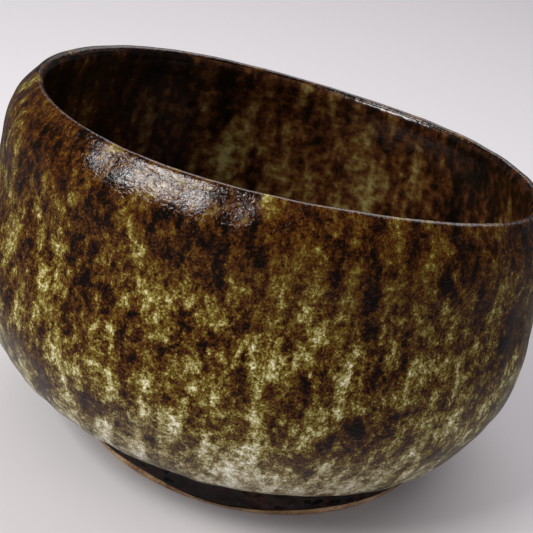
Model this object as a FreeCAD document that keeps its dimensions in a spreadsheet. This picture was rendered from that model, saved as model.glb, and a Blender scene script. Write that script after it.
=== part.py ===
import FreeCAD, Part
import math
import os

import Sketcher

# A hand-thrown stoneware tea bowl: one clay form on a separate foot ring, and its coats of glaze.
# Frame: z = 0 is the plane the foot stands on, +Z is up, the origin is under the middle of the belly.
# The bowl sits askew on its level foot: each of its rings lies in a plane that tips, and tips more with
# height, so the lip slants, and the axis leans as it rises. The foot ring is a few millimetres off it.

# name, height of the ring's centre, radius: the outside of the clay, from the base to the lip
OUTSIDE = [
    ("base", 5.6, 34.0),
    ("curl", 9.0, 44.8),
    ("haunch", 14.4, 53.2),
    ("hip", 21.5, 57.0),
    ("belly", 30.5, 59.8),
    ("waist", 40.4, 59.6),
    ("wall", 50.5, 58.2),
    ("shoulder", 58.8, 57.9),
    ("brow", 64.0, 56.8),
    ("lip", 69.6, 54.3),
]

# the same for the hollow, from the floor to the lip
HOLLOW = [
    ("floor", 12.1, 30.0),
    ("heel", 13.9, 38.5),
    ("rise", 17.2, 45.5),
    ("side", 22.6, 51.0),
    ("inner_belly", 30.5, 54.6),
    ("inner_waist", 40.4, 55.4),
    ("inner_wall", 50.5, 54.9),
    ("inner_shoulder", 58.8, 54.4),
    ("inner_brow", 64.0, 53.5),
    ("inner_lip", 69.6, 52.2),
]

SIZES = [
    ("rim_height", 69.6, "height of the middle of the lip's plane"),
    ("base_slope_x", -0.0828, "rise of the base's plane per mm towards +X"),
    ("base_slope_y", -0.0206, "rise of the base's plane per mm towards +Y"),
    ("rim_slope_x", -0.0890, "rise of the lip's plane per mm towards +X"),
    ("rim_slope_y", -0.1418, "rise of the lip's plane per mm towards +Y"),
    ("lean_x", 4.63, "sideways lean of the axis from foot to lip"),
    ("lean_y", -0.24, "lean of the axis towards +Y from foot to lip"),
    ("lip_split", 0.95, "how far into the lip the liner glaze meets the outside glaze"),
    ("foot_x", 4.77, "foot ring's centre"),
    ("foot_y", -0.3, "foot ring's centre"),
    ("foot_outer", 40.6, "outer radius of the foot ring where it stands"),
    ("foot_waist", 39.6, "outer radius of the foot ring's blank at its top"),
    ("foot_inner", 34.1, "inner radius of the foot ring"),
    ("foot_top", 14.0, "height of the foot ring's blank before it is cut to the bowl"),
    ("foot_round", 0.9, "radius on the foot ring's two bottom edges"),
    ("bare_edge", 1.2, "height of the clay left bare above the resting plane"),
    ("base_coat", 0.3, "thickness of the first glaze"),
    ("well_coat", 0.7, "depth of the glaze under the middle of the base"),
    ("ash_coat", 0.6, "thickness of the ash glaze"),
    ("liner_coat", 0.4, "thickness of the glaze in the hollow"),
    ("ash_low", 9.4, "height of the ash glaze's rolled lower edge at the bowl's middle"),
    ("ash_high", 68.7, "height at which the ash glaze thins out just under the lip"),
    ("big", 90.0, "reach of the cutting solids"),
]

doc = FreeCAD.newDocument("tea_bowl")
sheet = doc.addObject("Spreadsheet::Sheet", "sheet")
value = {}


def cell(alias, number, note):
    """Put one driving dimension in the sheet, with its alias and a note beside it."""
    row = len(value) + 1
    sheet.set(f"A{row}", str(number))
    sheet.setAlias(f"A{row}", alias)
    sheet.set(f"B{row}", note)
    value[alias] = number


for alias, number, note in SIZES:
    cell(alias, number, note)
for station, height, radius in OUTSIDE + HOLLOW:
    cell(f"{station}_height", height, f"height of the {station} ring")
    cell(f"{station}_radius", radius, f"radius of the {station} ring")
doc.recompute()


def origin_plane(body, role):
    """One of a body's own three planes."""
    return next(feature for feature in body.Origin.OriginFeatures if feature.Role == role)


def normals(stations, outward):
    """Unit normals (sideways, up) of a profile at its stations, from each one's neighbours."""
    found = []
    for i in range(len(stations)):
        low = stations[max(i - 1, 0)]
        high = stations[min(i + 1, len(stations) - 1)]
        rise, spread = high[1] - low[1], high[2] - low[2]
        length = math.hypot(rise, spread)
        found.append((outward * rise / length, -outward * spread / length))
    found[0] = (0.0, -outward)
    return found


def tip(height):
    """Axis and angle in degrees of the turn that lays a level plane in the bowl's plane at a height."""
    share = height / value["rim_height"]
    slope_x = value["base_slope_x"] + (value["rim_slope_x"] - value["base_slope_x"]) * share
    slope_y = value["base_slope_y"] + (value["rim_slope_y"] - value["base_slope_y"]) * share
    return FreeCAD.Vector(slope_y, -slope_x, 0), math.degrees(math.atan(math.hypot(slope_x, slope_y)))


def tip_expression(height):
    """The same angle as an expression in the sheet's cells, for a height that is one too."""
    slopes = [
        f"(sheet.base_slope_{way} + (sheet.rim_slope_{way} - sheet.base_slope_{way})"
        f" * {height} / sheet.rim_height)"
        for way in "xy"
    ]
    return f"atan(sqrt({slopes[0]}^2 + {slopes[1]}^2))"


def ring_sketch(body, station, across, up, offset, top_lift):
    """A circle on the tipped plane of one station, moved out along the profile's normal by offset."""
    name = station[0]
    share = f"(sheet.{name}_height / sheet.rim_height)"
    sketch = body.newObject("Sketcher::SketchObject", f"{body.Name}_{name}")
    sketch.AttachmentSupport = [(origin_plane(body, "XY_Plane"), "")]
    sketch.MapMode = "FlatFace"
    sketch.AttachmentOffset = FreeCAD.Placement(FreeCAD.Vector(), FreeCAD.Rotation(*tip(station[1])))
    sketch.setExpression(".AttachmentOffset.Base.x", f"sheet.lean_x * ({share} - 0.5)")
    sketch.setExpression(".AttachmentOffset.Base.y", f"sheet.lean_y * ({share} - 0.5)")
    lift = f"{top_lift}" if top_lift else f"{up:.4f} * ({offset})"
    sketch.setExpression(".AttachmentOffset.Base.z", f"sheet.{name}_height + {lift}")
    sketch.setExpression(".AttachmentOffset.Rotation.Angle", tip_expression(f"sheet.{name}_height"))
    sketch.addGeometry(Part.Circle(FreeCAD.Vector(), FreeCAD.Vector(0, 0, 1), station[2]), False)
    sketch.addConstraint(Sketcher.Constraint("Coincident", 0, 3, -1, 1))
    radius = sketch.addConstraint(Sketcher.Constraint("Radius", 0, station[2]))
    sketch.renameConstraint(radius, "ring")
    sketch.setExpression("Constraints.ring", f"sheet.{name}_radius + {across:.4f} * ({offset})")
    return sketch


def loft(body, kind, name, stations, outward, offset="0", top_lift=""):
    """A loft through every station, offset from the clay's surface; the lip's ring can be lifted."""
    rings = []
    for station, (across, up) in zip(stations, normals(stations, outward)):
        lift = top_lift if station is stations[-1] else ""
        rings.append(ring_sketch(body, station, across, up, offset, lift))
    feature = body.newObject(f"PartDesign::{kind}Loft", name)
    feature.Profile = (rings[0], [""])
    feature.Sections = [(ring, [""]) for ring in rings[1:]]
    feature.Ruled = False
    for ring in rings:
        ring.Visibility = False
    doc.recompute()
    return feature


def cut(name, base, *tools):
    """Base with each tool taken away in turn; the last cut carries the name."""
    for i, tool in enumerate(tools):
        last = i == len(tools) - 1
        result = doc.addObject("Part::Cut", name if last else f"{name}_cut_{i}")
        result.Base = base
        result.Tool = tool
        base = result
    result.Label = name
    doc.recompute()
    return result


def cylinder(name, radius, low, high, middle=("0", "0"), level=""):
    """A cylinder whose sizes are expressions in the sheet's cells. It is upright, or tipped as the bowl
    is at a level: the name of a cell that holds a height."""
    solid = doc.addObject("Part::Cylinder", name)
    if level:
        solid.Placement = FreeCAD.Placement(FreeCAD.Vector(), FreeCAD.Rotation(*tip(value[level])))
        solid.setExpression(".Placement.Rotation.Angle", tip_expression(f"sheet.{level}"))
    solid.setExpression("Radius", radius)
    solid.setExpression("Height", f"({high}) - ({low})")
    solid.setExpression(".Placement.Base.x", middle[0])
    solid.setExpression(".Placement.Base.y", middle[1])
    solid.setExpression(".Placement.Base.z", low)
    return solid


FOOT_MIDDLE = ("sheet.foot_x", "sheet.foot_y")
OVER_LIP = "sheet.liner_coat"

# Clay body: the thrown wall and floor.
clay = doc.addObject("PartDesign::Body", "clay_body")
loft(clay, "Additive", "thrown_form", OUTSIDE, 1)
loft(clay, "Subtractive", "hollow", HOLLOW, -1)

# Foot ring: turned on its own, a tapered tube with softened bottom edges, then cut to the bowl's underside.
foot = doc.addObject("PartDesign::Body", "foot_blank")
profile = foot.newObject("Sketcher::SketchObject", "foot_profile")
profile.AttachmentSupport = [(origin_plane(foot, "XZ_Plane"), "")]
profile.MapMode = "FlatFace"
corners = [
    (value["foot_inner"], 0.0),
    (value["foot_outer"], 0.0),
    (value["foot_waist"], value["foot_top"]),
    (value["foot_inner"], value["foot_top"]),
]
for i, corner in enumerate(corners):
    start = FreeCAD.Vector(*corner, 0)
    end = FreeCAD.Vector(*corners[(i + 1) % 4], 0)
    profile.addGeometry(Part.LineSegment(start, end), False)
for i in range(4):
    profile.addConstraint(Sketcher.Constraint("Coincident", i, 2, (i + 1) % 4, 1))
profile.addConstraint(Sketcher.Constraint("PointOnObject", 0, 1, -1))
profile.addConstraint(Sketcher.Constraint("Horizontal", 0))
profile.addConstraint(Sketcher.Constraint("Horizontal", 2))
profile.addConstraint(Sketcher.Constraint("Vertical", 3))
for name, kind, line, end, size in [
    ("inner", "DistanceX", 0, 1, "foot_inner"),
    ("outer", "DistanceX", 0, 2, "foot_outer"),
    ("waist", "DistanceX", 1, 2, "foot_waist"),
    ("top", "DistanceY", 1, 2, "foot_top"),
]:
    made = profile.addConstraint(Sketcher.Constraint(kind, -1, 1, line, end, value[size]))
    profile.renameConstraint(made, name)
    profile.setExpression(f"Constraints.{name}", f"sheet.{size}")
turned = foot.newObject("PartDesign::Revolution", "foot_turned")
turned.Profile = (profile, [""])
turned.ReferenceAxis = (profile, ["V_Axis"])
turned.Angle = 360.0
foot.setExpression(".Placement.Base.x", FOOT_MIDDLE[0])
foot.setExpression(".Placement.Base.y", FOOT_MIDDLE[1])
doc.recompute()
softened = foot.newObject("PartDesign::Fillet", "foot_softened")
softened.Base = (
    turned,
    [
        f"Edge{i}"
        for i, edge in enumerate(turned.Shape.Edges, 1)
        if edge.Closed and abs(edge.CenterOfMass.z) < 0.01
    ],
)
softened.setExpression("Radius", "sheet.foot_round")
doc.recompute()
lip_middle = doc.addObject("PartDesign::Body", "lip_middle")
loft(lip_middle, "Additive", "lip_middle_skin", HOLLOW, -1, "-sheet.lip_split", OVER_LIP)
foot_ring = cut("foot_ring", foot, clay, lip_middle)

# Base glaze: the thin first coat on the whole outside, over the lip's outer half and down the foot ring.
base_form = doc.addObject("PartDesign::Body", "base_form")
loft(base_form, "Additive", "base_skin", OUTSIDE, 1, "sheet.base_coat", OVER_LIP)
base_shell = cut("base_shell", base_form, lip_middle)
foot_coat = doc.addObject("Part::Cone", "foot_coat")
foot_coat.setExpression("Radius1", "sheet.foot_outer + sheet.base_coat")
foot_coat.setExpression("Radius2", "sheet.foot_waist + sheet.base_coat")
foot_coat.setExpression("Height", "sheet.foot_top - sheet.bare_edge")
foot_coat.setExpression(".Placement.Base.x", FOOT_MIDDLE[0])
foot_coat.setExpression(".Placement.Base.y", FOOT_MIDDLE[1])
foot_coat.setExpression(".Placement.Base.z", "sheet.bare_edge")
base_raw = doc.addObject("Part::Fuse", "base_raw")
base_raw.Base = base_shell
base_raw.Tool = foot_coat
MID_FOOT = "(sheet.foot_inner + sheet.foot_waist) / 2"
under = cylinder("under_bowl", MID_FOOT, "-1", "sheet.foot_top", FOOT_MIDDLE)
base_glaze = cut("base_glaze", base_raw, clay, foot_ring, under, lip_middle)

# Foot well glaze: the same glaze on the bowl's underside inside the ring, pooled where the clay curves up.
BASE_AT_FOOT = "sheet.base_height + sheet.base_slope_x * (sheet.foot_x + sheet.lean_x / 2)"
well_fill = cylinder(
    "well_fill",
    "sheet.foot_inner + sheet.foot_round",
    f"{BASE_AT_FOOT} - sheet.well_coat",
    f"{BASE_AT_FOOT} + sheet.well_coat * 5",
    FOOT_MIDDLE,
    "base_height",
)
well_glaze = cut("foot_well_glaze", well_fill, foot, clay)

# Ash glaze: the thick mottled second coat on the outer wall, from under the lip to a rolled edge.
ash_shell = doc.addObject("PartDesign::Body", "ash_shell")
loft(ash_shell, "Additive", "ash_outer", OUTSIDE, 1, "sheet.base_coat + sheet.ash_coat", OVER_LIP)
below_ash = cylinder("below_ash", "sheet.big", "sheet.ash_low - sheet.big", "sheet.ash_low", level="ash_low")
above_ash = cylinder("above_ash", "sheet.big", "sheet.ash_high", "sheet.ash_high + sheet.big", level="ash_high")
ash_glaze = cut("ash_glaze", ash_shell, below_ash, above_ash, foot_coat, base_form)

# Liner glaze: poured into the hollow and over the lip, where it meets the outside glaze.
liner_space = doc.addObject("PartDesign::Body", "liner_space")
loft(liner_space, "Additive", "liner_space_skin", HOLLOW, -1, "sheet.liner_coat", OVER_LIP)
liner_glaze = cut("liner_glaze", lip_middle, liner_space, clay)

NODES = [clay, foot_ring, base_glaze, ash_glaze, liner_glaze, well_glaze]

doc.recompute()
for item in doc.Objects:
    if "Invalid" in item.State or "Error" in item.State:
        raise RuntimeError(f"{item.Label} failed to recompute: {item.State}")

os.makedirs("parts", exist_ok=True)
for node in NODES:
    shape = node.Shape
    if shape.isNull() or not shape.isValid() or not shape.Solids:
        raise RuntimeError(f"{node.Label} has no valid solid")
    shape.exportStep(f"parts/{node.Label}.step")
    box = shape.BoundBox
    print(
        f"{node.Label}: {len(shape.Solids)} solid, {shape.Volume:.1f} mm3, "
        f"x {box.XMin:.2f}..{box.XMax:.2f}, y {box.YMin:.2f}..{box.YMax:.2f}, "
        f"z {box.ZMin:.2f}..{box.ZMax:.2f}"
    )
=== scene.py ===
from math import cos, pi, radians, sin, tau

import bpy
import numpy as np
from mathutils import Matrix, Vector


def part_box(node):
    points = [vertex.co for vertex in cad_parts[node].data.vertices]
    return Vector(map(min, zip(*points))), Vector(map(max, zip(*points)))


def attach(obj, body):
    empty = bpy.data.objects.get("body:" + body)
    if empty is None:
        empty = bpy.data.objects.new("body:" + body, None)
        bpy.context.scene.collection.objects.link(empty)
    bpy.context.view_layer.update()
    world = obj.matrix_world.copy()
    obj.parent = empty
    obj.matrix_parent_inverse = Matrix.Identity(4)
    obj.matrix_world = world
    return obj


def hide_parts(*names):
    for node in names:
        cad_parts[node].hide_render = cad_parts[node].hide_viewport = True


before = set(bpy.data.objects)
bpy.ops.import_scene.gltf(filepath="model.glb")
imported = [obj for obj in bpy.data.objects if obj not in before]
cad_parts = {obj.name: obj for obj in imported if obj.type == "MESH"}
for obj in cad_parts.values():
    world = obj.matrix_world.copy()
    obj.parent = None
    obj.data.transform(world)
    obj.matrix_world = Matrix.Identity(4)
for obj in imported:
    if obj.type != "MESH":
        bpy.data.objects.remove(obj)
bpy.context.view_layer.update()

# ---------------------------------------------------------------------------------------------
# Clay body: the wall and floor, thrown in one piece on the wheel from buff stoneware with a fine
# grog. It sits a little askew on its foot, and its lip slants and waves. It is glazed all over.
# ---------------------------------------------------------------------------------------------
MM = 0.001
rim_height = 69.6
base_slope = np.array([-0.0828, -0.0206])
rim_slope = np.array([-0.0890, -0.1418])
lean = np.array([4.63, -0.24])
lip_waves = [(2, 0.62, -101.0), (3, 0.35, 118.0), (4, 0.21, 125.0)]

# radius and height in mm of the clay's section, from the middle of the underside, out round the
# belly, over the lip and back down the hollow to the middle of the floor
clay_section = [
    (0.0, 5.6), (12.0, 5.6), (24.0, 5.6), (34.0, 5.8), (39.6, 6.95), (44.8, 9.0), (49.5, 11.5),
    (53.2, 14.4), (55.6, 18.0), (57.2, 21.6), (59.0, 26.0), (59.8, 30.5), (59.9, 35.5), (59.6, 40.4),
    (58.8, 45.5), (58.15, 50.5), (57.95, 55.0), (57.9, 58.8), (57.5, 61.6), (56.7, 64.1),
    (55.5, 66.1), (54.5, 67.5), (54.0, 68.6), (53.4, 69.3), (52.7, 69.1), (52.3, 68.3), (52.2, 67.2),
    (52.5, 65.6), (53.1, 63.5), (54.1, 58.8), (54.8, 50.5), (55.3, 40.4), (54.6, 30.5), (51.0, 22.6),
    (45.5, 17.2), (38.5, 13.9), (30.0, 12.3), (20.0, 11.9), (9.0, 11.8), (0.0, 11.8),
]


def smooth_line(points, step):
    """Points every step mm along a curve through the given points. Each span is the cubic whose end
    slopes are the mean direction of its neighbours, with the spans' own lengths as the parameter."""
    p = np.asarray(points, float)
    span = np.linalg.norm(np.diff(p, axis=0), axis=1)
    at = np.concatenate([[0], np.cumsum(span)])
    slope = np.gradient(p, at, axis=0)
    fine = np.linspace(0, at[-1], int(at[-1] / step) * 4)
    k = np.clip(np.searchsorted(at, fine, side="right") - 1, 0, len(span) - 1)
    t = ((fine - at[k]) / span[k])[:, None]
    h = span[k][:, None]
    curve = (
        (2 * t**3 - 3 * t**2 + 1) * p[k] + (t**3 - 2 * t**2 + t) * h * slope[k]
        + (3 * t**2 - 2 * t**3) * p[k + 1] + (t**3 - t**2) * h * slope[k + 1]
    )
    gone = np.concatenate([[0], np.cumsum(np.linalg.norm(np.diff(curve, axis=0), axis=1))])
    even = np.linspace(0, gone[-1], int(gone[-1] / step) + 1)
    return np.stack([np.interp(even, gone, curve[:, i]) for i in range(2)], axis=1)


def outward(section):
    """Unit normals of a section that runs out, up and back: its tangent turned a quarter right."""
    tangent = np.gradient(section, axis=0)
    tangent /= np.linalg.norm(tangent, axis=1)[:, None]
    return np.stack([tangent[:, 1], -tangent[:, 0]], axis=1)


def hand_form(angle, radius, height):
    """Points in metres at an angle round the bowl. Each ring is a circle of the given radius, seen
    from above, about an axis that leans, in a plane that tips more with height; slow waves lift and
    drop the lip."""
    share = height / rim_height
    across_x, across_y = radius * np.cos(angle), radius * np.sin(angle)
    slope_x = base_slope[0] + (rim_slope[0] - base_slope[0]) * share
    slope_y = base_slope[1] + (rim_slope[1] - base_slope[1]) * share
    wave = sum(size * np.cos(n * angle - radians(turn)) for n, size, turn in lip_waves)
    x = lean[0] * (share - 0.5) + across_x
    y = lean[1] * (share - 0.5) + across_y
    z = height + slope_x * across_x + slope_y * across_y + wave * np.clip(share, 0, 1) ** 4
    return np.stack([x, y, z], axis=-1) * MM


def skin_mesh(name, rows, closed, flow=None):
    """A mesh from a grid of points (row, column) whose rows go round the bowl. A closed skin's last
    row joins its first; an open one's first and last rows are drawn to a point at their middle.
    flow, in mm, is kept on each point: its place round the wall, unrolled, and its way down it."""
    count, columns = rows.shape[:2]
    grid = np.arange(count * columns).reshape(count, columns)
    lower = grid if closed else grid[:-1]
    upper = np.roll(grid, -1, axis=0) if closed else grid[1:]
    quads = np.stack([lower, np.roll(lower, -1, axis=1), np.roll(upper, -1, axis=1), upper], axis=-1)
    faces = quads.reshape(-1, 4).tolist()
    points = rows.reshape(-1, 3)
    values = None if flow is None else flow.reshape(-1, 3)
    if not closed:
        ends = [rows[0].mean(axis=0), rows[-1].mean(axis=0)]
        points = np.vstack([points, *ends])
        low = np.full(columns, count * columns)
        faces += np.stack([low, np.roll(grid[0], -1), grid[0]], axis=-1).tolist()
        faces += np.stack([low + 1, grid[-1], np.roll(grid[-1], -1)], axis=-1).tolist()
        if flow is not None:
            values = np.vstack([values, flow[0].mean(axis=0), flow[-1].mean(axis=0)])
    mesh = bpy.data.meshes.new(name)
    mesh.from_pydata(points.tolist(), [], faces)
    if values is not None:
        mesh.attributes.new("flow", "FLOAT_VECTOR", "POINT").data.foreach_set("vector", values.ravel())
    mesh.shade_smooth()
    mesh.set_sharp_from_angle(angle=radians(55))
    piece = bpy.data.objects.new(name, mesh)
    bpy.context.collection.objects.link(piece)
    return piece


def add(tree, kind, inputs=(), **settings):
    """A shader node. Its inputs are given by name or number, each a value or another node's socket."""
    made = tree.nodes.new("ShaderNode" + kind)
    for name, given in settings.items():
        setattr(made, name, given)
    for key, given in dict(inputs).items():
        if isinstance(given, bpy.types.NodeSocket):
            tree.links.new(given, made.inputs[key])
        else:
            made.inputs[key].default_value = given
    return made


def maths(tree, operation, *terms):
    """A sum, product or other step on numbers or sockets."""
    return add(tree, "Math", enumerate(terms), operation=operation).outputs[0]


def place_in_mm(tree):
    """The point's own place on the piece, in mm."""
    here = add(tree, "TexCoord").outputs["Object"]
    return add(tree, "VectorMath", {0: here, 1: (1000, 1000, 1000)}, operation="MULTIPLY").outputs[0]


def cloud(tree, place, size, detail=2.0, roughness=0.5, distortion=0.0):
    """Soft noise about 0.5 with features of a size in mm."""
    inputs = {"Vector": place, "Scale": 1 / size, "Detail": detail}
    inputs |= {"Roughness": roughness, "Distortion": distortion}
    return add(tree, "TexNoise", inputs).outputs[0]


def ramp(tree, value, stops):
    """Colours along a value from 0 to 1, each stop a place and a linear colour or a grey."""
    made = add(tree, "ValToRGB", {0: value})
    band = made.color_ramp
    while len(band.elements) < len(stops):
        band.elements.new(0.5)
    for element, (at, colour) in zip(band.elements, stops):
        element.position = at
        element.color = (*colour, 1) if isinstance(colour, tuple) else (colour, colour, colour, 1)
    return made.outputs[0]


def blend_colour(tree, share, first, second):
    """One colour into another by a share."""
    made = add(tree, "Mix", data_type="RGBA", inputs={0: share, 6: first, 7: second})
    return made.outputs[2]


def fired(tone):
    """A linear colour from its six hexadecimal digits of red, green and blue as they look."""
    parts = np.array([int(tone[k:k + 2], 16) for k in (0, 2, 4)]) / 255
    linear = np.where(parts > 0.04045, ((parts + 0.055) / 1.055) ** 2.4, parts / 12.92)
    return tuple(float(v) for v in linear)


columns = 240
round_bowl = np.linspace(0, tau, columns, endpoint=False)[None, :]
clay_line = smooth_line(clay_section, 0.35)
clay_normal = outward(clay_line)
clay_arc = np.concatenate([[0], np.cumsum(np.linalg.norm(np.diff(clay_line, axis=0), axis=1))])
clay_rows = hand_form(round_bowl, clay_line[2:-2:2, 0:1], clay_line[2:-2:2, 1:2])
clay = skin_mesh("clay_body_form", clay_rows, closed=False)


def stoneware():
    """Bare fired clay: buff to toasted brown, with dark iron specks, a dry grain and fine pits."""
    material = bpy.data.materials.new("bare_stoneware")
    material.use_nodes = True
    tree = material.node_tree
    place = place_in_mm(tree)
    toast = cloud(tree, place, 9.0, 3.0)
    grain = cloud(tree, place, 0.5, 4.0, 0.7)
    tone = maths(tree, "MULTIPLY_ADD", grain, 0.5, maths(tree, "MULTIPLY", toast, 0.5))
    buff = ramp(tree, tone, [(0.38, fired("6a4a2e")), (0.5, fired("a07c55")), (0.62, fired("c9a880"))])
    specks = add(tree, "TexVoronoi", {"Vector": place, "Scale": 0.8}).outputs[0]
    iron = ramp(tree, specks, [(0.12, 0.9), (0.20, 0.0)])
    shader = tree.nodes["Principled BSDF"]
    speckled = blend_colour(tree, iron, buff, (*fired("38241a"), 1))
    tree.links.new(speckled, shader.inputs["Base Color"])
    shader.inputs["Roughness"].default_value = 0.82
    relief = add(tree, "Bump", {"Height": grain, "Distance": 0.12 * MM, "Strength": 0.8})
    tree.links.new(relief.outputs[0], shader.inputs["Normal"])
    return material


bare_clay = stoneware()
clay.data.materials.append(bare_clay)
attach(clay, "root")
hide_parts("clay_body")

# ---------------------------------------------------------------------------------------------
# Foot ring: a low ring of the same clay, turned and luted on a few millimetres off the bowl's
# axis. Its resting edge was wiped clean of glaze before the firing and shows bare, toasted clay.
# ---------------------------------------------------------------------------------------------
foot_low, foot_high = (np.array(corner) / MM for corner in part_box("foot_ring"))
foot_middle = (foot_low[:2] + foot_high[:2]) / 2
foot_inset = 0.1         # room for the strays of a hand-turned edge
foot_width = 6.4
foot_taper = 0.07        # mm inwards for each mm up
foot_soft = 0.9          # radius of the worn corners of its sole
foot_root = 0.3          # depth of its root in the bowl's clay
foot_share = 0.1         # its height as a share of the lip's, where the leaning axis is taken
haunch_radius = 54
foot_outer = (foot_high[0] - foot_low[0]) / 2 - foot_inset
foot_inner = foot_outer - foot_width
axis_at_foot = lean * (foot_share - 0.5)
foot_axis_x, foot_axis_y = foot_middle - axis_at_foot
foot_offset = np.hypot(foot_axis_x, foot_axis_y)
foot_heading = np.arctan2(foot_axis_y, foot_axis_x)
under_line = clay_line[: int(np.argmax(clay_line[:, 0] > haunch_radius))]


def underside(x, y):
    """Height in mm of the clay's underside over a place on the ground: the section's height at that
    distance from the leaning axis, with the slope of the ring's plane there."""
    from_x, from_y = x - axis_at_foot[0], y - axis_at_foot[1]
    height = np.interp(np.hypot(from_x, from_y), under_line[:, 0], under_line[:, 1])
    share = height / rim_height
    slope_x = base_slope[0] + (rim_slope[0] - base_slope[0]) * share
    slope_y = base_slope[1] + (rim_slope[1] - base_slope[1]) * share
    return height + slope_x * from_x + slope_y * from_y


def foot_point(angle, radius):
    """Place in mm, over the ground, at an angle and radius about the foot's own middle. The radius
    strays from a circle by two slow waves, as hand turning leaves it."""
    stray = 0.20 * np.cos(2 * angle - 0.6) + 0.10 * np.cos(5 * angle + 1.1)
    out = radius + stray
    return foot_middle[0] + out * np.cos(angle), foot_middle[1] + out * np.sin(angle)


def foot_reach(angle):
    """Distance in mm from the bowl's axis to the foot's outer face in a direction: where a line from
    the axis leaves the foot's circle."""
    turn = angle - foot_heading
    return foot_offset * np.cos(turn) + np.sqrt(foot_outer**2 - (foot_offset * np.sin(turn)) ** 2)


# rows up the outer face from the sole's rounded corner, across the hidden top, down the inner face
# and back over the sole
quarter = np.linspace(0, pi / 2, 7)[:, None]
bend_out = foot_soft * np.sin(quarter)
bend_up = foot_soft - foot_soft * np.cos(quarter)
climb = np.linspace(0, 1, 11)[1:, None]
x, y = foot_point(round_bowl, foot_outer - 0.7)
outer_top = underside(x, y) + foot_root
x, y = foot_point(round_bowl, foot_inner)
inner_top = underside(x, y) + foot_root
outer_z = np.vstack([bend_up + 0 * round_bowl, foot_soft + climb * (outer_top - foot_soft)])
outer_bend = np.vstack([bend_out, bend_out[-1] + 0 * climb])
outer_r = foot_outer - foot_soft + outer_bend - foot_taper * outer_z
inner_z = np.vstack([foot_soft + climb[::-1] * (inner_top - foot_soft), bend_up[::-1] + 0 * round_bowl])
inner_r = foot_inner + foot_soft - np.vstack([foot_soft + 0 * climb, bend_out[::-1]]) + 0 * inner_z
top_share = np.linspace(0, 1, 6)[1:-1, None]
top_r = outer_r[-1:] + top_share * (foot_inner - outer_r[-1:])
x, y = foot_point(round_bowl, top_r)
top_z = underside(x, y) + foot_root
sole_share = np.linspace(0, 1, 8)[1:-1, None]
sole_r = foot_inner + foot_soft + sole_share * (foot_outer - foot_inner - 2 * foot_soft)
sole_r = sole_r + 0 * round_bowl
ring_x, ring_y = foot_point(round_bowl, np.vstack([outer_r, top_r, inner_r, sole_r]))
ring_z = np.vstack([outer_z, top_z, inner_z, 0 * sole_r])
foot = skin_mesh("foot_ring_turned", np.stack([ring_x, ring_y, ring_z], axis=-1) * MM, closed=True)
foot.data.materials.append(bare_clay)
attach(foot, "root")
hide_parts("foot_ring")

# ---------------------------------------------------------------------------------------------
# Base glaze: the first, thin coat of black-brown iron glaze. The bowl was held by its foot and
# dipped, so the coat stops in a rolled, wavy edge on the foot ring, above the bare clay.
# ---------------------------------------------------------------------------------------------
base_coat = 0.3          # its thickness
sunk = 0.25              # depth of a coat's hidden back in the clay
deep_sunk = 0.3
glaze_columns = 480
round_glaze = np.linspace(0, tau, glaze_columns, endpoint=False)[None, :]


def drift(seed, lowest, highest, size):
    """A slow wander round the bowl, in mm: cosines of whole turns from lowest to highest, each at a
    random phase, together about size high."""
    phases = np.random.default_rng(seed).uniform(0, tau, highest - lowest + 1)
    turns = np.arange(lowest, highest + 1)
    waves = np.cos(turns[:, None] * round_glaze + phases[:, None])
    return size * waves.sum(axis=0, keepdims=True) / np.sqrt(len(turns) / 2)


def coated(arc, thickness):
    """Points of a glaze's face at a way along the clay's section from the underside's middle, and a
    thickness over the clay, both in mm, and round the bowl."""
    radius, height = (
        np.interp(arc, clay_arc, clay_line[:, i])
        + thickness * np.interp(arc, clay_arc, clay_normal[:, i])
        for i in range(2)
    )
    return hand_form(round_glaze, radius, height)


def arc_at_radius(radius):
    """Way along the section at which the underside or haunch reaches a radius."""
    return np.interp(radius, under_line[:, 0], clay_arc[: len(under_line)])


lip_arc = clay_arc[int(np.argmax(clay_line[:, 1]))]

# the band on the foot's outer face: a rounded bead at its edge, then a plain coat up to the corner
edge_height = 1.7 + drift(3, 2, 9, 0.28)
bead_share = np.linspace(0, 1, 6)[:, None]
bead = np.sqrt(np.clip(1 - (1 - bead_share) ** 2, 0, 1))
bead_z = edge_height + 0.8 * bead_share - 0.25
x, y = foot_point(round_glaze, foot_outer)
join_z = underside(x, y) - base_coat
band_share = np.linspace(0, 1, 12)[1:, None]
band_z = np.vstack([bead_z, bead_z[-1:] + band_share * (join_z - bead_z[-1:])])
band_coat = base_coat + 0.25 * np.exp(-(((band_z - edge_height - 0.5) / 0.7) ** 2))
band_coat[: len(bead)] *= bead
x, y = foot_point(round_glaze, foot_outer - foot_taper * band_z + band_coat)
band = np.stack([x, y, band_z], axis=-1)

# the apron out under the bowl to the haunch, and the wall up to the lip, where the coat thins out
start_radius = np.maximum(50.0, foot_reach(round_glaze) + 2.5)
start_arc = arc_at_radius(start_radius)
haunch = coated(start_arc, base_coat) / MM
out_share = np.linspace(0, 1, 10)[1:-1, None, None]
apron = band[-1:] + out_share * (haunch[None, 0] - band[-1:])
apron[..., 2] = underside(apron[..., 0], apron[..., 1]) - base_coat
wall_share = np.linspace(0, 1, 90)[:, None]
coat_end = lip_arc + 0.3
wall_arc = start_arc + wall_share * (coat_end - start_arc)
wall_coat = base_coat * np.sqrt(np.clip((coat_end - wall_arc) / 1.5, 0, 1))
base_face = np.vstack([band, apron, coated(wall_arc, wall_coat) / MM])

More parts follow.
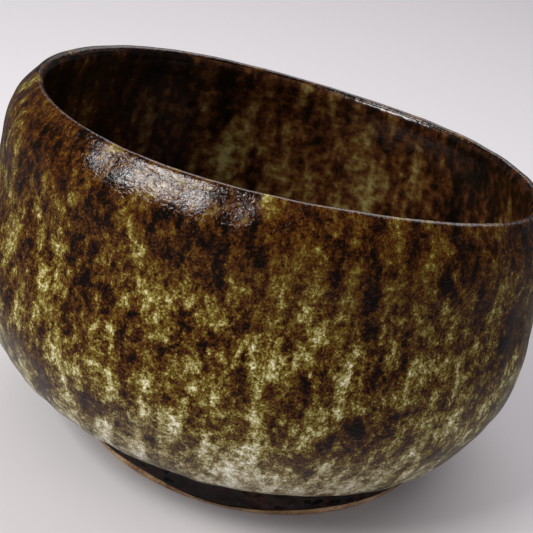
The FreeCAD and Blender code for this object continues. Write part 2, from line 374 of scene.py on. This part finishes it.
# the glaze rounds the corners at both ends of the apron: there each row moves to the mean of twice
# itself and its two neighbours, three times over
corners = slice(9, 29)
for _ in range(3):
    base_face[corners] = (base_face[8:28] + 2 * base_face[corners] + base_face[10:30]) / 4
back_arc = wall_arc[::-6]
back_wall = coated(back_arc, -sunk) / MM
back_apron = apron[::-3] + np.array([0, 0, base_coat + sunk])
x, y = foot_point(round_glaze, foot_outer - foot_taper * band_z[::-4] - deep_sunk)
back_band = np.stack([x, y, band_z[::-4]], axis=-1)
base_rows = np.vstack([base_face, back_wall, back_apron, back_band]) * MM
base_glaze = skin_mesh("base_glaze_coat", base_rows, closed=True)


def iron_glaze():
    """Black-brown iron glaze: nearly black where it is thick, red-brown in soft clouds where it is
    thin, mirror-glossy, with a faint swell."""
    material = bpy.data.materials.new("iron_glaze")
    material.use_nodes = True
    tree = material.node_tree
    place = place_in_mm(tree)
    thin = cloud(tree, place, 5.0, 3.0, 0.6, 0.8)
    grain = cloud(tree, place, 0.7, 3.0, 0.6)
    tone = maths(tree, "MULTIPLY_ADD", grain, 0.35, maths(tree, "MULTIPLY", thin, 0.65))
    colour = ramp(
        tree, tone,
        [
            (0.40, fired("0b0605")), (0.52, fired("1d0e09")),
            (0.62, fired("3a1b0f")), (0.72, fired("54301c")),
        ],
    )
    shader = tree.nodes["Principled BSDF"]
    tree.links.new(colour, shader.inputs["Base Color"])
    gloss = ramp(tree, grain, [(0.40, 0.03), (0.65, 0.09)])
    tree.links.new(gloss, shader.inputs["Roughness"])
    swell = cloud(tree, place, 6.0, 2.0, 0.5)
    relief = maths(tree, "MULTIPLY_ADD", grain, 0.04, swell)
    bump = add(tree, "Bump", {"Height": relief, "Distance": 2.4 * MM, "Strength": 1.0})
    tree.links.new(bump.outputs[0], shader.inputs["Normal"])
    return material


dark_glaze = iron_glaze()
base_glaze.data.materials.append(dark_glaze)
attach(base_glaze, "root")
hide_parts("base_glaze")

# ---------------------------------------------------------------------------------------------
# Foot well glaze: the same iron glaze on the bowl's underside inside the ring. It ran as it melted
# and set in a thick fillet where the clay meets the ring's inner face.
# ---------------------------------------------------------------------------------------------
well_coat = 0.55
fillet_tall, fillet_wide = 1.5, 0.9
well_radius = np.concatenate([
    np.linspace(1.5, foot_inner - 4, 18), np.linspace(foot_inner - 3.6, foot_inner + 0.12, 16),
])[:, None] + 0 * round_glaze
x, y = foot_point(round_glaze, well_radius)
fillet = fillet_tall * np.exp(-(foot_inner - well_radius) / fillet_wide) * (1 + drift(11, 2, 8, 0.25))
face_z = underside(x, y) - well_coat - fillet
back_radius = well_radius[::-3]
back_x, back_y = foot_point(round_glaze, back_radius)
back_z = underside(back_x, back_y) + sunk
well_rows = np.vstack([np.stack([x, y, face_z], axis=-1), np.stack([back_x, back_y, back_z], axis=-1)])
well_glaze = skin_mesh("foot_well_glaze_coat", well_rows * MM, closed=False)
well_glaze.data.materials.append(dark_glaze)
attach(well_glaze, "root")
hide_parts("foot_well_glaze")

# ---------------------------------------------------------------------------------------------
# Ash glaze: the thick second coat of wood-ash glaze, which broke into mottles and short runs in the
# fire: dark amber under the lip, yellow-olive on the wall, pale and greyer on the haunch, that grey
# partly its own and partly a painted reflection of the pale ground. Painted shade darkens it towards
# the back and the left. It ends below in a rolled edge that hangs over the foot, and thins out over
# the crest of the lip.
# ---------------------------------------------------------------------------------------------
ash_coat = 0.6           # its thickness over the base glaze
roll_wide = 0.9          # width of the round of its lower edge
edge_radius = np.maximum(
    44.5 + drift(5, 2, 12, 0.9), foot_reach(round_glaze) + 1.6 + drift(6, 3, 14, 0.5)
)
edge_arc = arc_at_radius(edge_radius)
ash_end = lip_arc + 0.9

# rows along the section, close together in the rolled edge and at the lip
roll = np.array([0, 0.03, 0.1, 0.22, 0.4, 0.62, 0.9, 1.25])[:, None]
roll_end = 1.25
wall_fine = np.linspace(0, 1, 108)[1:-1, None]
near_lip = lip_arc - 4.0
ash_arc = np.vstack([
    edge_arc + roll,
    edge_arc + roll_end + wall_fine * (near_lip - edge_arc - roll_end),
    near_lip + np.linspace(0, 1, 22)[:, None] * (ash_end - near_lip) + 0 * edge_arc,
])

# thickness: a quarter round at the edge, lobes that hang just above it, low ripples on the wall and
# a fade at the lip
from_edge = ash_arc - edge_arc
round_edge = np.sqrt(np.clip(1 - (1 - from_edge / roll_wide) ** 2, 0, 1))
rolled = np.where(from_edge < roll_wide, round_edge, 1.0)
thin_out = np.clip((ash_end - ash_arc) / 3.5, 0, 1) ** 0.7
lobes = 0.35 * np.exp(-from_edge / 1.6) * (1 + 0.7 * drift(8, 6, 22, 1.0).clip(-1, 1))

# each ripple is a cosine of a whole number of turns, so the coat closes on itself
ripple_high = 0.022
ripple_step = np.array([1, 0.01, 0.01])
ripples = np.random.default_rng(4).uniform([5, -0.45, 0], [46, 0.45, tau], (24, 3))
ripples = ripples // ripple_step * ripple_step
swell = sum(
    ripple_high * np.cos(turns * round_glaze + way * ash_arc + shift) for turns, way, shift in ripples
)
ash_thick = base_coat + (ash_coat + lobes + swell) * rolled * thin_out
face = coated(ash_arc, ash_thick)
ash_back = coated(ash_arc[::-9], 0.6 * base_coat)
down = lip_arc - np.vstack([ash_arc, ash_arc[::-9]])
belly_radius = 60
unrolled = np.stack([
    belly_radius * np.cos(round_glaze) + 0 * down, belly_radius * np.sin(round_glaze) + 0 * down, down,
], axis=-1)
ash_glaze = skin_mesh("ash_glaze_coat", np.vstack([face, ash_back]), closed=True, flow=unrolled)


def flow_place(tree, stretch=(1, 1, 1)):
    """The point's place on the unrolled wall, in mm. A factor under 1 draws a pattern out along that
    axis."""
    here = add(tree, "Attribute", attribute_name="flow").outputs["Vector"]
    return add(tree, "VectorMath", {0: here, 1: stretch}, operation="MULTIPLY").outputs[0]


def ash_glaze_finish():
    """Mottled ash glaze. One tone, the sum of fine flecks, blotches, downward runs and broad patches
    on a level that climbs with the way down the wall, less a painted shade towards the back and left of
    the bowl, picks the colour from near-black through amber and olive to cream; on the haunch a greyer
    scale takes over, partly the glaze's own grey and partly a painted reflection of the pale ground."""
    material = bpy.data.materials.new("mottled_ash_glaze")
    material.use_nodes = True
    tree = material.node_tree
    place = flow_place(tree)
    runs = cloud(tree, flow_place(tree, (1, 1, 0.40)), 5.2, 3.0, 0.6, 0.3)
    blotch = cloud(tree, place, 3.0, 4.0, 0.68, 0.25)
    curd = cloud(tree, place, 1.1, 3.0, 0.7, 0.15)
    fleck = cloud(tree, place, 0.42, 3.0, 0.8)
    patch = cloud(tree, flow_place(tree, (1, 1, 0.8)), 12.0, 2.0, 0.5, 0.4)
    way = add(tree, "SeparateXYZ", {0: place}).outputs[2]
    wander = maths(tree, "MULTIPLY_ADD", patch, 26.0, maths(tree, "SUBTRACT", way, 13.0))
    depth = maths(tree, "DIVIDE", wander, 85.0)
    level = ramp(
        tree, depth,
        [
            (0.0, 0.25), (0.10, 0.27), (0.20, 0.31), (0.34, 0.39),
            (0.58, 0.45), (0.74, 0.57), (0.9, 0.65),
        ],
    )
    # painted shade: the tone is lowered round the bowl, least at the front, more on the left, most at
    # the back
    painted_shading_direction = {0: place, 1: (0.0004, -0.0011, 0.0)}
    painted_side_shade = add(tree, "VectorMath", painted_shading_direction, operation="DOT_PRODUCT").outputs["Value"]
    mottle = maths(tree, "MULTIPLY", maths(tree, "SUBTRACT", patch, 0.5), 0.55)
    for noise, weight in ((runs, 1.35), (blotch, 1.45), (curd, 0.9), (fleck, 1.15)):
        mottle = maths(tree, "MULTIPLY_ADD", maths(tree, "SUBTRACT", noise, 0.5), weight, mottle)
    contrast = ramp(tree, depth, [(0.03, 0.68), (0.28, 1.0), (0.60, 1.0), (0.88, 0.72)])
    # the level less the painted side shade
    tone = maths(tree, "ADD", level, maths(tree, "SUBTRACT", painted_side_shade, 0.075))
    tone = maths(tree, "MULTIPLY_ADD", mottle, contrast, tone)
    warm = ramp(
        tree, tone,
        [
            (0.03, fired("080401")), (0.17, fired("2a1203")), (0.31, fired("4a2808")),
            (0.45, fired("5a4912")), (0.60, fired("877c3c")), (0.77, fired("bfb88c")),
            (0.95, fired("f0ecdc")),
        ],
    )
    # the greyer scale of the haunch: partly the glaze's own pale grey, partly a painted reflection of
    # the pale ground below
    grey_and_sheen = ramp(
        tree, tone,
        [
            (0.08, fired("20170e")), (0.26, fired("4f4129")), (0.44, fired("857753")),
            (0.60, fired("b0a588")), (0.78, fired("d4cebb")), (0.95, fired("edebe0")),
        ],
    )
    # share of grey glaze and painted reflection, rising down the haunch
    grey_and_sheen_share = ramp(tree, depth, [(0.52, 0.0), (0.80, 1.0)])
    shader = tree.nodes["Principled BSDF"]
    tree.links.new(blend_colour(tree, grey_and_sheen_share, warm, grey_and_sheen), shader.inputs["Base Color"])
    gloss = ramp(tree, maths(tree, "MULTIPLY_ADD", fleck, 0.3, blotch), [(0.45, 0.08), (0.85, 0.17)])
    tree.links.new(gloss, shader.inputs["Roughness"])
    peel = cloud(tree, flow_place(tree, (1, 1, 1.7)), 1.15, 3.0, 0.6, 0.3)
    relief = maths(tree, "MULTIPLY_ADD", curd, 0.16, peel)
    relief = maths(tree, "MULTIPLY_ADD", fleck, 0.20, relief)
    bump = add(tree, "Bump", {"Height": relief, "Distance": 0.21 * MM, "Strength": 0.9})
    tree.links.new(bump.outputs[0], shader.inputs["Normal"])
    return material


ash_glaze.data.materials.append(ash_glaze_finish())
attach(ash_glaze, "root")
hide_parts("ash_glaze")

# ---------------------------------------------------------------------------------------------
# Liner glaze: a dark brown glaze poured into the hollow and swirled up to the lip, where it goes
# under the thin edge of the ash glaze. Olive and amber runs have slid down its wall. Painted light
# lifts its far wall, most on the right, and painted shade darkens its near wall and left side.
# ---------------------------------------------------------------------------------------------
liner_coat = 0.4
floor_arc = clay_arc[-1]
liner_start = lip_arc - 0.2
liner_arc = liner_start + np.concatenate([
    np.linspace(0, 4, 16), np.linspace(4.5, 62, 90), np.linspace(63, floor_arc - liner_start - 1.2, 30),
])[:, None] + 0 * round_glaze
liner_thick = liner_coat * np.sqrt(np.clip((liner_arc - liner_start) / 2.5, 0.01, 1))
liner_back = coated(liner_arc[::-6], -deep_sunk)
liner_rows = np.vstack([liner_back, coated(liner_arc, liner_thick)])
down = np.vstack([liner_arc[::-6], liner_arc]) - lip_arc
inner_turn = np.interp(down, [0, 40, 95], [54, 54, 4])
unrolled = np.stack([inner_turn * np.cos(round_glaze), inner_turn * np.sin(round_glaze), down], axis=-1)
liner = skin_mesh("liner_glaze_coat", liner_rows, closed=False, flow=unrolled)


def liner_finish():
    """Dark liner glaze: near-black brown, with soft olive and amber runs drawn down the wall, painted
    lighter on the far and right wall and darker on the near and left as painted light and shade.
    """
    material = bpy.data.materials.new("liner_glaze")
    material.use_nodes = True
    tree = material.node_tree
    place = flow_place(tree)
    runs = cloud(tree, flow_place(tree, (1, 1, 0.30)), 3.8, 2.0, 0.5, 0.15)
    blotch = cloud(tree, place, 2.2, 2.0, 0.5, 0.15)
    patch = cloud(tree, place, 30.0, 1.0)
    fleck = cloud(tree, place, 0.6, 2.0, 0.6)
    # painted light and shade: the tone rises towards the far wall and the right, and falls towards the
    # near wall and the left
    painted_shading_direction = {0: place, 1: (0.0010, 0.0040, 0.0)}
    painted_interior_shading = add(tree, "VectorMath", painted_shading_direction, operation="DOT_PRODUCT").outputs["Value"]
    tone = maths(tree, "MULTIPLY_ADD", patch, 0.65, painted_interior_shading)
    for noise, weight in ((runs, 0.9), (blotch, 0.7), (fleck, 0.2)):
        share = maths(tree, "MULTIPLY", maths(tree, "SUBTRACT", noise, 0.5), weight)
        tone = maths(tree, "ADD", tone, share)
    colour = ramp(
        tree, tone,
        [
            (0.25, fired("080503")), (0.40, fired("180d05")), (0.52, fired("34190a")),
            (0.64, fired("4c2f14")), (0.76, fired("62522a")), (0.90, fired("7d7146")),
        ],
    )
    shader = tree.nodes["Principled BSDF"]
    tree.links.new(colour, shader.inputs["Base Color"])
    shader.inputs["Roughness"].default_value = 0.2
    relief = maths(tree, "MULTIPLY_ADD", fleck, 0.2, blotch)
    bump = add(tree, "Bump", {"Height": relief, "Distance": 0.25 * MM, "Strength": 0.8})
    tree.links.new(bump.outputs[0], shader.inputs["Normal"])
    return material


liner.data.materials.append(liner_finish())
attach(liner, "root")
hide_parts("liner_glaze")

# ---------------------------------------------------------------------------------------------
# Room: a pale floor, painted lighter near the bowl as painted light over the shade round its foot, a
# softbox high on the left that strikes the shoulder, a broad light over and behind the bowl, and pale
# surroundings. Floor and surroundings are dim in the glaze's gloss.
# ---------------------------------------------------------------------------------------------
floor_mesh = bpy.data.meshes.new("floor")
floor_reach = 12.0
floor_corners = [
    (-floor_reach, -floor_reach, 0), (floor_reach, -floor_reach, 0),
    (floor_reach, floor_reach, 0), (-floor_reach, floor_reach, 0),
]
floor_mesh.from_pydata(floor_corners, [], [(0, 1, 2, 3)])
floor = bpy.data.objects.new("floor", floor_mesh)
bpy.context.collection.objects.link(floor)
paper = bpy.data.materials.new("pale_floor")
paper.use_nodes = True
paper_tree = paper.node_tree
paper_shader = paper_tree.nodes["Principled BSDF"]
floor_place = place_in_mm(paper_tree)
far_out = add(paper_tree, "VectorMath", {0: floor_place}, operation="LENGTH").outputs["Value"]
dimmer = ramp(paper_tree, maths(paper_tree, "DIVIDE", far_out, 200.0), [(0.30, 0.38), (0.60, 0.08)])
in_gloss = add(paper_tree, "LightPath").outputs["Is Glossy Ray"]
# painted light: the floor's colour is lighter near the bowl, lifting the shade of the bowl and the
# lights' fall-off there
floor_tone_and_painted_light = ramp(paper_tree, maths(paper_tree, "DIVIDE", far_out, 600.0), [(0.25, 0.87), (0.9, 0.53)])
seen = blend_colour(paper_tree, in_gloss, floor_tone_and_painted_light, dimmer)
tinted = add(paper_tree, "VectorMath", {0: seen, 1: fired("cfccce")}, operation="MULTIPLY")
paper_tree.links.new(tinted.outputs[0], paper_shader.inputs["Base Color"])
paper_shader.inputs["Roughness"].default_value = 0.9
paper_shader.inputs["Specular IOR Level"].default_value = 0.1
floor_mesh.materials.append(paper)


def softbox(name, direction, distance, wide, tall, power, tint):
    """An area light at a distance in m in a direction from the bowl's middle, turned to face it."""
    lamp = bpy.data.lights.new(name, "AREA")
    lamp.shape = "RECTANGLE"
    lamp.size, lamp.size_y = wide, tall
    lamp.energy = power
    lamp.color = tint
    holder = bpy.data.objects.new(name, lamp)
    middle = Vector((0, 0, 0.04))
    holder.location = middle + Vector(direction).normalized() * distance
    holder.rotation_euler = (middle - holder.location).to_track_quat("-Z", "Y").to_euler()
    bpy.context.collection.objects.link(holder)


softbox("key_light", (-0.60, -0.40, 0.70), 0.9, 0.46, 0.26, 8.6, (1.0, 0.98, 0.96))
softbox("back_light", (0.25, 0.75, 0.75), 1.6, 1.8, 1.2, 17.0, (0.97, 0.97, 1.0))
world = bpy.data.worlds.new("pale_room")
world.use_nodes = True
sky = world.node_tree.nodes["Background"]
sky.inputs["Color"].default_value = (*fired("e4e1e4"), 1)
mirrored = add(world.node_tree, "LightPath").outputs["Is Glossy Ray"]
sky_strength = maths(world.node_tree, "MULTIPLY_ADD", mirrored, -0.70, 0.75)
world.node_tree.links.new(sky_strength, sky.inputs["Strength"])
bpy.context.scene.world = world
bpy.context.scene.view_settings.view_transform = "Standard"

# ---------------------------------------------------------------------------------------------
# Camera: a long lens a hand's breadth above the lip's level, looking down into the bowl, and
# turned about its own line of sight so that the ground falls away to the right.
# ---------------------------------------------------------------------------------------------
camera_place = Vector((-2.3, -269.3, 175.8)) * MM
camera_aim = Vector((1.7, -2.0, 37.4)) * MM
camera_roll = radians(10.0)
ahead = (camera_aim - camera_place).normalized()
sideways = ahead.cross(Vector((0, 0, 1))).normalized()
upright = sideways.cross(ahead)
right = cos(camera_roll) * sideways + sin(camera_roll) * upright
over = right.cross(ahead)
lens = bpy.data.cameras.new("camera")
lens.lens = 92.8
lens.sensor_width = 36.0
lens.clip_start = 0.01
viewer = bpy.data.objects.new("camera", lens)
turned = Matrix((right, over, -ahead)).transposed().to_4x4()
viewer.matrix_world = Matrix.Translation(camera_place) @ turned
bpy.context.collection.objects.link(viewer)
bpy.context.scene.camera = viewer
